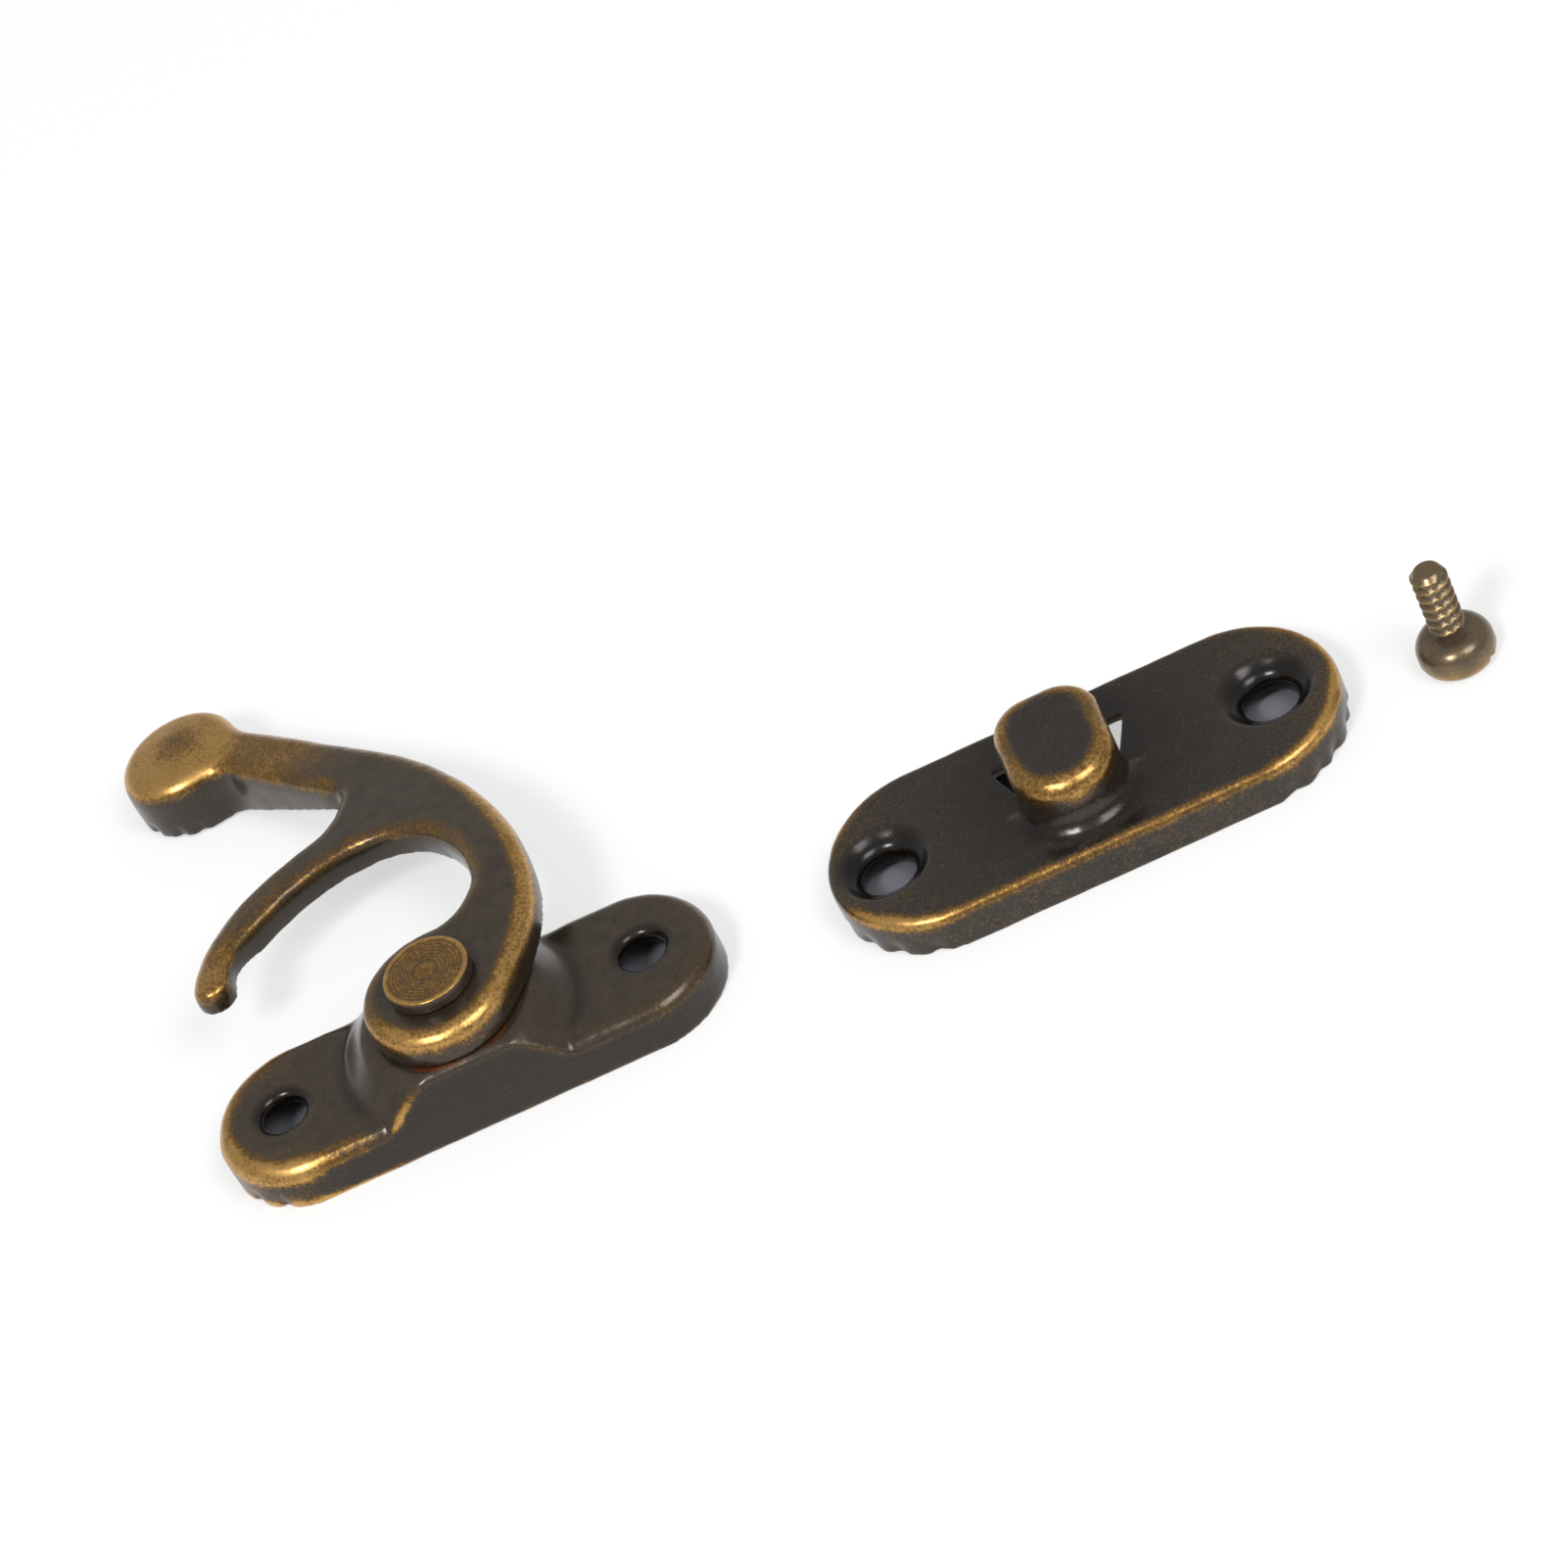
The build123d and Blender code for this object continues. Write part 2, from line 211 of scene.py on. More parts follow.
class HaspStage(PropertyGroup):
    """Camera, lamps and floor."""

    lens: FloatProperty(
        name="Lens", description="Focal length on the sensor", default=133.2, unit="CAMERA"
    )
    distance: length("Distance", 305.69, "From the camera to the point it looks at")
    azimuth: angle("Azimuth", 4.604, "Turn of the camera round the latch")
    elevation: angle("Elevation", 41.344, "Rise of the camera over the floor")
    roll: angle("Roll", -27.498, "Turn of the camera about its own line of sight")
    target: FloatVectorProperty(
        name="Target", description="Point that the camera looks at",
        default=(19.784 * MM, 10.119 * MM, 0.0), subtype="TRANSLATION",
    )
    floor: colour("Floor", "#FBFBFB", "Paper under the latch")
    # painted shade: the grey put on the paper where it shows through the plates' holes and the slit by
    # the keeper
    painted_shade: colour("Shade", "#77787E", "Paper under holes in the plates, out of the light")
    hook_painted_shade: length("Hook plate shade", 3.6, "Radius of the shade under the hook plate's holes")
    keeper_painted_shade: length("Keeper shade", 1.1, "Radius of the shade under the slit by the keeper")
    catch_painted_shade: length("Catch shade", 2.8, "Radius of the shade under the catch plate's holes")
    glow: share("Glow", 0.55, "How far the paper shines white by itself round the plates")
    sky: amount("Sky", 0.5, "Strength of the light from all round")
    key: amount("Key", 6.6, "Power of the main lamp, in watts")
    fill: amount("Fill", 5.0, "Power of the second lamp, in watts")


def ramp(low, high, values):
    """Smooth step from 0 at low to 1 at high."""
    t = np.clip((values - low) / (high - low), 0.0, 1.0)
    return t * t * (3.0 - 2.0 * t)


def only(piece):
    """Selects one piece and makes it active."""
    bpy.ops.object.select_all(action="DESELECT")
    piece.select_set(True)
    bpy.context.view_layer.objects.active = piece


def apply_modifier(piece, kind, **settings):
    """Adds a modifier with its settings and applies it."""
    modifier = piece.modifiers.new(kind.lower(), kind)
    for name, value in settings.items():
        setattr(modifier, name, value)
    only(piece)
    bpy.ops.object.modifier_apply(modifier=modifier.name)


def sheet_skin(node, name, form):
    """A piece on a CAD node's own surface, cut to even small faces, smoothed and dented."""
    piece = bpy.data.objects.new(name, frame["nodes"][node].data.copy())
    bpy.context.scene.collection.objects.link(piece)
    piece.data.materials.clear()
    only(piece)
    bpy.ops.object.mode_set(mode="EDIT")
    bpy.ops.mesh.select_all(action="SELECT")
    bpy.ops.mesh.remove_doubles(threshold=SAME_POINT * MM)
    bpy.ops.object.mode_set(mode="OBJECT")
    apply_modifier(piece, "REMESH", mode="VOXEL", voxel_size=form.face_size)
    apply_modifier(piece, "SMOOTH", factor=SMOOTH_STEP, iterations=form.smoothing)
    dents = bpy.data.textures.new(name + "_dents", "CLOUDS")
    dents.noise_scale = form.dent_size
    apply_modifier(piece, "DISPLACE", texture=dents, strength=form.dent_depth, mid_level=1.0)
    bpy.ops.object.shade_smooth()
    return piece


def quarter_round(radius, level, reach, rise, steps):
    """Corners of a quarter round of a half section, from its outermost to its highest, in mm."""
    corners = []
    for step in range(steps + 1):
        turn = math.radians(90.0 / steps * step)
        corners.append((radius + reach * math.cos(turn), level + rise * math.sin(turn)))
    return corners


def turned(name, corners, x, y, segments):
    """A piece drawn up ring by ring from a disc, through its half section's corners, in mm."""
    bpy.ops.object.select_all(action="DESELECT")
    radius, level = corners[0]
    bpy.ops.mesh.primitive_circle_add(
        vertices=segments, radius=radius * MM, fill_type="TRIFAN",
        location=(x * MM, y * MM, level * MM),
    )
    piece = bpy.context.object
    piece.name = name
    bpy.ops.object.transform_apply(location=True, rotation=True, scale=True)
    bpy.ops.object.mode_set(mode="EDIT")
    bpy.ops.mesh.select_all(action="SELECT")
    for next_radius, next_level in corners[1:]:
        bpy.ops.mesh.extrude_region()
        grow = next_radius / radius
        bpy.ops.transform.resize(
            value=(grow, grow, 1.0), center_override=(x * MM, y * MM, level * MM)
        )
        bpy.ops.transform.translate(value=(0.0, 0.0, (next_level - level) * MM))
        radius, level = next_radius, next_level
    bpy.ops.mesh.select_all(action="SELECT")
    bpy.ops.mesh.normals_make_consistent(inside=False)
    bpy.ops.object.mode_set(mode="OBJECT")
    return piece


def points_of(piece):
    """A piece's points in millimetres, and the way that each one faces."""
    mesh = piece.data
    points = np.empty(len(mesh.vertices) * 3)
    facing = np.empty(len(mesh.vertices) * 3)
    mesh.vertices.foreach_get("co", points)
    mesh.vertex_normals.foreach_get("vector", facing)
    return points.reshape(-1, 3) / MM, facing.reshape(-1, 3)


def move_points(piece, points):
    """Puts a piece's points where they are given, in mm, and none of them under the floor."""
    points[:, 2] = np.maximum(points[:, 2], 0.0)
    piece.data.vertices.foreach_set("co", (points * MM).ravel())
    piece.data.update()


def paint(piece, name, values):
    """Keeps a value from 0 to 1 for each point of a piece; a single value goes to all of them."""
    layer = piece.data.attributes.new(name, "FLOAT", "POINT")
    spread = np.broadcast_to(np.clip(values, 0.0, 1.0), len(piece.data.vertices))
    layer.data.foreach_set("value", spread.astype(np.float32))


def coat(piece, burnish, black=0.0, rust=0.0):
    """Paints how far a piece is rubbed bare, how thick its black lies, with any shade painted into it,
    and where it rusts.
    """
    paint(piece, "burnish", burnish)
    paint(piece, "black", black)
    paint(piece, "rust", rust)


def links_of(piece):
    """Both ends of every edge of a piece, and how many edges each point has."""
    mesh = piece.data
    ends = np.empty(len(mesh.edges) * 2, np.int64)
    mesh.edges.foreach_get("vertices", ends)
    first, second = ends.reshape(-1, 2).T
    return first, second, np.bincount(ends, minlength=len(mesh.vertices)).astype(float)


def averaged(links, values):
    """Mean of the neighbours' values, point by point."""
    first, second, count = links
    total = np.empty_like(values)
    for axis in range(values.shape[1]):
        line = values[:, axis]
        total[:, axis] = np.bincount(first, line[second], len(count))
        total[:, axis] += np.bincount(second, line[first], len(count))
    return total / count[:, None]


def standing_out(piece, reach):
    """How far each point stands out of the surface within reach round it, all in mm."""
    points, facing = points_of(piece)
    links = links_of(piece)
    step = np.linalg.norm(points[links[0]] - points[links[1]], axis=1).mean()
    mean = points
    for _ in range(max(1, round(2.0 * (reach / step) ** 2))):
        mean = averaged(links, mean)
    return ((points - mean) * facing).sum(axis=1)


def in_hollows(piece):
    """1 in a piece's hollows, 0 elsewhere."""
    return ramp(*HOLLOW_DEPTHS, -standing_out(piece, HOLLOW_REACH))


def soften(piece, weights, rounds):
    """Smooths a piece where its points' weights, from 0 to 1, ask for it."""
    points, _ = points_of(piece)
    links = links_of(piece)
    for _ in range(rounds):
        points = points + SMOOTH_STEP * weights[:, None] * (averaged(links, points) - points)
    move_points(piece, points)


def from_spot(points, x, y):
    """Distance of each point from a spot of the plan, in mm."""
    return np.hypot(points[:, 0] - x, points[:, 1] - y)


def round_spot(points, x, y):
    """Direction of each point round a spot of the plan, in degrees."""
    return np.degrees(np.arctan2(points[:, 1] - y, points[:, 0] - x))


def bumps(angles, places, width):
    """Sum of smooth bumps at the places, along the angles, all in degrees."""
    total = np.zeros_like(angles)
    for place in places:
        gap = (angles - place + 180.0) % 360.0 - 180.0
        total += np.exp(-((gap / width) ** 2))
    return np.clip(total, 0.0, 1.0)


def rusting(points):
    """1 where the seam under the eye rusts, by the points' direction round the pivot."""
    return bumps(round_spot(points, 0.0, 0.0), RUST_PLACES, RUST_SPREAD)


def gather_skirt(points, x, y, radius, places, form):
    """Gathers a round skirt into pleats at places round its middle, and tears its edge there."""
    away = from_spot(points, x, y)
    inner, outer = (radius - depth for depth in SKIRT_WALL)
    pleat = bumps(round_spot(points, x, y), places, PLEAT_SPREAD) * ramp(inner, outer, away)
    tear, height = form.tear_height / MM, form.pleat_height / MM
    lower = ramp(height, 0.2 * height, points[:, 2])
    points[:, 2] += tear * pleat * ramp(3.0 * tear, 0.0, points[:, 2])
    tuck = 1.0 - form.pleat_depth / MM * pleat * lower / np.maximum(away, radius / 2.0)
    points[:, 0] = x + (points[:, 0] - x) * tuck
    points[:, 1] = y + (points[:, 1] - y) * tuck


def front_hem(points):
    """Wear along the lower edge of a plate's front wall."""
    return HEM_WEAR * (1.0 - ramp(*HEM_RISE, points[:, 2])) * ramp(*HEM_FRONT, points[:, 1])


def screw_holes(mount):
    """Both screw holes of a plate on the plan, in mm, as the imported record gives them."""
    for row in frame["record"]["mounts"]:
        if row["name"] == mount:
            x, y, _ = (part / MM for part in row["pos_m"])
            half = row["dims"]["spacing_x_mm"] / 2.0
            return (x - half, y), (x + half, y)
    raise RuntimeError("the record has no mount " + mount)


def off_holes(points, mount, radius):
    """1 on a plate, falling to 0 in its screw holes."""
    keep = np.ones(len(points))
    for x, y in screw_holes(mount):
        keep *= ramp(radius, radius + HOLE_FADE, from_spot(points, x, y))
    return keep


def add(tree, kind, inputs=None, **settings):
    """Adds a node with its settings; each input takes a value or another node's output."""
    node = tree.nodes.new(kind)
    for name, value in settings.items():
        setattr(node, name, value)
    for key, value in (inputs or {}).items():
        if isinstance(value, bpy.types.NodeSocket):
            tree.links.new(value, node.inputs[key])
        else:
            node.inputs[key].default_value = value
    return node


def sheet_tones(finish, patina):
    """Tones of the sheet's plating, from thick black to bare metal."""
    return patina, finish.brown, finish.bronze, finish.bright_bronze


def antique_bronze(name, tones, speckle, finish):
    """Bronze plating on steel, blackened, rubbed and lacquered."""
    # the eye sees glossy dark flats, and warm metal that comes through in specks where it is rubbed
    material = bpy.data.materials.new(name)
    material.use_nodes = True
    tree = material.node_tree
    tree.nodes.clear()
    place = add(tree, "ShaderNodeTexCoord").outputs["Object"]
    burnish = add(tree, "ShaderNodeAttribute", attribute_name="burnish").outputs["Fac"]
    black = add(tree, "ShaderNodeAttribute", attribute_name="black").outputs["Fac"]
    rust = add(tree, "ShaderNodeAttribute", attribute_name="rust").outputs["Fac"]
    # real specks are too fine to show, so the grain is drawn as coarse as it needs to be seen
    grain = add(
        tree, "ShaderNodeTexNoise",
        {
            "Vector": place, "Scale": 1.0 / finish.grain,
            "Detail": NOISE_DETAIL, "Roughness": GRAIN_ROUGHNESS,
        },
    ).outputs["Fac"]
    cloud = add(
        tree, "ShaderNodeTexNoise",
        {
            "Vector": place, "Scale": 1.0 / finish.cloud,
            "Detail": NOISE_DETAIL, "Roughness": CLOUD_ROUGHNESS,
        },
    ).outputs["Fac"]
    speckled = add(
        tree, "ShaderNodeMath", {0: grain, 1: speckle, 2: burnish}, operation="MULTIPLY_ADD"
    ).outputs[0]
    ragged = add(
        tree, "ShaderNodeMath", {0: cloud, 1: CLOUD_SHARE, 2: speckled}, operation="MULTIPLY_ADD"
    ).outputs[0]
    least = WEAR_START + NOISE_MEAN * speckle
    worn = add(
        tree, "ShaderNodeMapRange",
        {"Value": ragged, "From Min": least, "From Max": least + WEAR_SPAN},
    ).outputs["Result"]
    # dark on the flats, brown where the black is thin, then metal that brightens to the rims
    plating = add(tree, "ShaderNodeValToRGB", {"Fac": worn})
    elements = plating.color_ramp.elements
    while len(elements) < len(tones):
        elements.new(1.0)
    for element, position, tone in zip(elements, TONE_STOPS, tones):
        element.position = position
        element.color = (*tone, 1.0)
    eaten = add(tree, "ShaderNodeMath", {0: rust, 1: grain}, operation="MULTIPLY").outputs[0]
    rusty = add(
        tree, "ShaderNodeMapRange",
        {"Value": eaten, "From Min": RUST_RANGE[0], "From Max": RUST_RANGE[1]},
        interpolation_type="SMOOTHSTEP",
    ).outputs["Result"]
    patchy = add(
        tree, "ShaderNodeMapRange",
        {
            "Value": cloud, "From Min": PATCH_RANGE[0], "From Max": PATCH_RANGE[1],
            "To Max": PATCH_BLACK,
        },
    ).outputs["Result"]
    # the black: soot in the hollows and random patches, with painted shade on the steep sides of the
    # hook and its plate
    thick = add(tree, "ShaderNodeMath", {0: black, 1: patchy}, operation="MAXIMUM").outputs[0]
    dark = add(
        tree, "ShaderNodeMath", {0: thick, 1: worn}, operation="SUBTRACT", use_clamp=True
    ).outputs[0]
    sooty_and_shaded = add(
        tree, "ShaderNodeMix",
        {FACTOR: dark, FIRST: plating.outputs["Color"], SECOND: (*finish.soot_and_shade, 1.0)},
        data_type="RGBA",
    ).outputs[MIXED]
    skin = add(
        tree, "ShaderNodeMix", {FACTOR: rusty, FIRST: sooty_and_shaded, SECOND: (*finish.rust, 1.0)},
        data_type="RGBA",
    ).outputs[MIXED]
    bare = add(
        tree, "ShaderNodeMath", {0: worn, 1: rusty}, operation="SUBTRACT", use_clamp=True
    ).outputs[0]
    metallic = add(
        tree, "ShaderNodeMapRange",
        {
            "Value": bare, "From Min": METAL_RANGE[0], "From Max": METAL_RANGE[1],
            "To Min": finish.patina_metal, "To Max": 1.0,
        },
    ).outputs["Result"]
    roughness = add(
        tree, "ShaderNodeMapRange",
        {"Value": worn, "To Min": finish.patina_roughness, "To Max": finish.bronze_roughness},
    ).outputs["Result"]
    bump = add(
        tree, "ShaderNodeBump",
        {"Height": grain, "Strength": GRIT_STRENGTH, "Distance": GRIT_HEIGHT * MM},
    ).outputs["Normal"]
    shader = add(
        tree, "ShaderNodeBsdfPrincipled",
        {
            "Base Color": skin, "Metallic": metallic, "Roughness": roughness, "Normal": bump,
            "Coat Weight": finish.lacquer, "Coat Roughness": finish.lacquer_roughness,
        },
    ).outputs["BSDF"]
    add(tree, "ShaderNodeOutputMaterial", {"Surface": shader})
    return material


def settle(piece, node, body, material):
    """Gives a piece its finish and puts it in a node's stead."""
    piece.data.materials.clear()
    piece.data.materials.append(material)
    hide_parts(node)
    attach(piece, body)


class HASP_OT_hook_plate(Operator):
    """Dress the hook plate: free end rubbed bright, boss dark, rust in the seam under the eye"""

    bl_idname = "hasp.hook_plate"
    bl_label = "Hook Plate"

    # softened foot of the boss: distances from the pivot, height, and how far back it starts
    FOOT_START, FOOT_END = (4.6, 5.4), (7.2, 8.2)
    FOOT_RISE, FOOT_BACK, FOOT_ROUNDS = (2.0, 2.5), (-4.2, -3.2), 60
    PLEATS = (-168.0, -143.0, -121.0)
    # regions along, across and up the plate
    LEFT, END, FRONT, BOSS_RISE = (-3.0, -8.0), (-7.5, -10.5), (3.5, -2.5), (4.1, 4.4)
    # wear of the rim: all round, more at the left, most at its front, and kept off the boss
    EDGE_REACH = 0.5
    RIM_WEAR, LEFT_WEAR, FRONT_WEAR, BOSS_COVER = 0.3, 0.35, 0.35, 0.7
    # bright crease where the boss's front meets the plate
    CREASE, CREASE_SIZE, CREASE_RISE, CREASE_WEAR = (-4.3, -4.4), 1.1, (1.8, 2.6), 0.8
    # the last of these is shade painted as black on the steep sides, darker as they stand upright
    END_WEAR, WORN_FROM_HOLE, BLACK_TO_HOLE, SIDE_SHADE = 0.3, 2.2, 1.3, 0.7
    # rusty ledge on top of the boss: height and distances from the pivot
    LEDGE_RISE, LEDGE_START, LEDGE_END = (4.4, 4.6), (3.9, 4.05), (4.22, 4.4)

    def execute(self, context):
        form, finish = context.scene.hasp_form, context.scene.hasp_finish
        piece = sheet_skin("hook_plate", "hook_plate_sheet", form)
        points, _ = points_of(piece)
        out = from_spot(points, 0.0, 0.0)
        foot = ramp(*self.FOOT_START, out) * (1.0 - ramp(*self.FOOT_END, out))
        foot *= ramp(*self.FOOT_RISE, points[:, 2])
        foot *= ramp(*self.FOOT_BACK, points[:, 1])
        soften(piece, foot, self.FOOT_ROUNDS)
        points, _ = points_of(piece)
        low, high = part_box("hook_plate")
        half_width = (high.y - low.y) / MM / 2.0
        gather_skirt(points, low.x / MM + half_width, 0.0, half_width, self.PLEATS, form)
        move_points(piece, points)
        points, facing = points_of(piece)
        ledge = self.ledge(points)
        # the black of the hollows and holes, with shade painted on the steep sides
        black = np.maximum(in_hollows(piece), self.black(points, facing))
        coat(piece, self.wear(piece, points, facing), black, ledge * rusting(points))
        tones = sheet_tones(finish, finish.patina)
        material = antique_bronze("antique_bronze_plate", tones, finish.speckle, finish)
        settle(piece, "hook_plate", "base", material)
        return {"FINISHED"}

    def wear(self, piece, points, facing):
        """How far each point is rubbed bare."""
        edge = ramp(*EDGE_HEIGHTS, standing_out(piece, self.EDGE_REACH))
        left, end = ramp(*self.LEFT, points[:, 0]), ramp(*self.END, points[:, 0])
        front = ramp(*self.FRONT, points[:, 1])
        on_boss = ramp(*self.BOSS_RISE, points[:, 2])
        shine = self.RIM_WEAR + self.LEFT_WEAR * left + self.FRONT_WEAR * left * front
        shine = shine * (1.0 - self.BOSS_COVER * on_boss)
        crease = np.exp(-(from_spot(points, *self.CREASE) / self.CREASE_SIZE) ** 2)
        crease *= ramp(*self.CREASE_RISE, points[:, 2])
        flat = self.END_WEAR * end * off_holes(points, "hook_plate_screws", self.WORN_FROM_HOLE)
        flat *= ramp(*TOPS, facing[:, 2])
        wall = self.END_WEAR * end * front * ramp(*WALLS, facing[:, 2])
        plain = off_holes(points, "hook_plate_screws", self.BLACK_TO_HOLE)
        rubbed = (edge * (shine + self.CREASE_WEAR * crease) + flat + wall) * plain
        return np.maximum(rubbed, front_hem(points))

    def black(self, points, facing):
        """How thick the black lies in the screw holes, and shade painted as black on the steep sides.
        """
        holes = 1.0 - off_holes(points, "hook_plate_screws", self.BLACK_TO_HOLE)
        return np.maximum(holes, self.SIDE_SHADE * ramp(*SIDES, np.abs(facing[:, 2])))

    def ledge(self, points):
        """1 on the boss's ledge round the eye, where the rust lies."""
        out = from_spot(points, 0.0, 0.0)
        ring = ramp(*self.LEDGE_RISE, points[:, 2]) * ramp(*self.LEDGE_START, out)
        return ring * (1.0 - ramp(*self.LEDGE_END, out))


class HASP_OT_swing_hook(Operator):
    """Dress the swing hook: knob, lever and tongue tip rubbed to bronze, arm dark between rims"""

    bl_idname = "hasp.swing_hook"
    bl_label = "Swing Hook"

    # walls that are softened, by their facing, and the top that is crowned
    SOFT_WALLS, SOFT_ROUNDS, CROWN_FACING = (0.6, 0.25), 25, (0.2, 0.7)
    PLEATS = (166.0, -169.0, -144.0, -115.0, -94.0, -60.0)
    # rubbed tops: the knob, the lever along a slanting line, and the tongue from its tip
    EDGE_REACH, UP = 0.55, (0.05, 0.6)
    KNOB, KNOB_WEAR = (3.2, 5.0), 0.2
    LEVER, LEVER_SLANT, LEVER_WEAR = (19.0, 26.5), 0.35, 0.8
    TIP, TIP_REACH, TIP_FADE = (-11.6, 8.4), (0.5, 5.0), 0.55
    TONGUE, TONGUE_END = (-3.5, -8.0), (15.0, 17.0)
    TOP_WEAR = 0.78
    # dark patch on the knob's top
    PATCH, PATCH_SIZE, PATCH_COVER = (-10.4, 29.8), (0.0, 2.4), 0.45
    # rims, rubbed most on the outside of the arm and of the eye
    OUTER_ARM, OUTER_EYE = (2.5, 5.0), (1.0, -2.5)
    RIM_FACING, RIM_WEAR, OUTER_WEAR = (-0.2, 0.3), 0.46, 0.42
    # painted shade: black on the steep sides, darker as they stand upright
    SIDE_SHADE = 0.5
    # rusty lower edge of the eye: height and distance from the pivot
    HEM_RISE, EYE = (4.72, 4.95), (4.4, 4.8)

    def execute(self, context):
        form, finish = context.scene.hasp_form, context.scene.hasp_finish
        piece = sheet_skin("swing_hook", "swing_hook_sheet", form)
        _, facing = points_of(piece)
        soften(piece, ramp(*self.SOFT_WALLS, np.abs(facing[:, 2])), self.SOFT_ROUNDS)
        points, facing = points_of(piece)
        low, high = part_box("swing_hook")
        radius = form.knob_radius / MM
        knob_x, knob_y = low.x / MM + radius, high.y / MM - radius
        crown = np.clip(1.0 - (from_spot(points, knob_x, knob_y) / radius) ** 2, 0.0, 1.0)
        points[:, 2] += form.knob_crown / MM * crown * ramp(*self.CROWN_FACING, facing[:, 2])
        gather_skirt(points, knob_x, knob_y, radius, self.PLEATS, form)
        move_points(piece, points)
        points, facing = points_of(piece)
        wear = self.wear(piece, points, facing, knob_x, knob_y)
        # painted shade on the steep sides, added to the black of the hollows
        sides = self.SIDE_SHADE * ramp(*SIDES, np.abs(facing[:, 2]))
        hem = 1.0 - ramp(*self.HEM_RISE, points[:, 2])
        near = 1.0 - ramp(*self.EYE, from_spot(points, 0.0, 0.0))
        coat(piece, wear, np.maximum(in_hollows(piece), sides), hem * near * rusting(points))
        tones = sheet_tones(finish, finish.patina)
        material = antique_bronze("antique_bronze_hook", tones, finish.speckle, finish)
        settle(piece, "swing_hook", "hook", material)
        return {"FINISHED"}

    def wear(self, piece, points, facing, knob_x, knob_y):
        """How far each point is rubbed bare."""
        x, y = points[:, 0], points[:, 1]
        edge = ramp(*EDGE_HEIGHTS, standing_out(piece, self.EDGE_REACH))
        up = ramp(*self.UP, facing[:, 2])
        knob = 1.0 - ramp(*self.KNOB, from_spot(points, knob_x, knob_y))
        lever = self.LEVER_WEAR * ramp(*self.LEVER, y - self.LEVER_SLANT * x)
        tip = 1.0 - self.TIP_FADE * ramp(*self.TIP_REACH, from_spot(points, *self.TIP))
        tongue = tip * ramp(*self.TONGUE, x) * (1.0 - ramp(*self.TONGUE_END, y))
        rubbed = np.maximum(np.maximum(knob, lever), tongue) * up
        patch = 1.0 - ramp(*self.PATCH_SIZE, from_spot(points, *self.PATCH))
        outer = np.clip(ramp(*self.OUTER_ARM, x) + ramp(*self.OUTER_EYE, y), 0.0, 1.0)
        rims = edge * (self.RIM_WEAR + self.OUTER_WEAR * outer)
        rims *= ramp(*self.RIM_FACING, facing[:, 2])
        tops = self.TOP_WEAR * rubbed - self.PATCH_COVER * patch
        return np.maximum(tops, rims) + self.KNOB_WEAR * knob * up


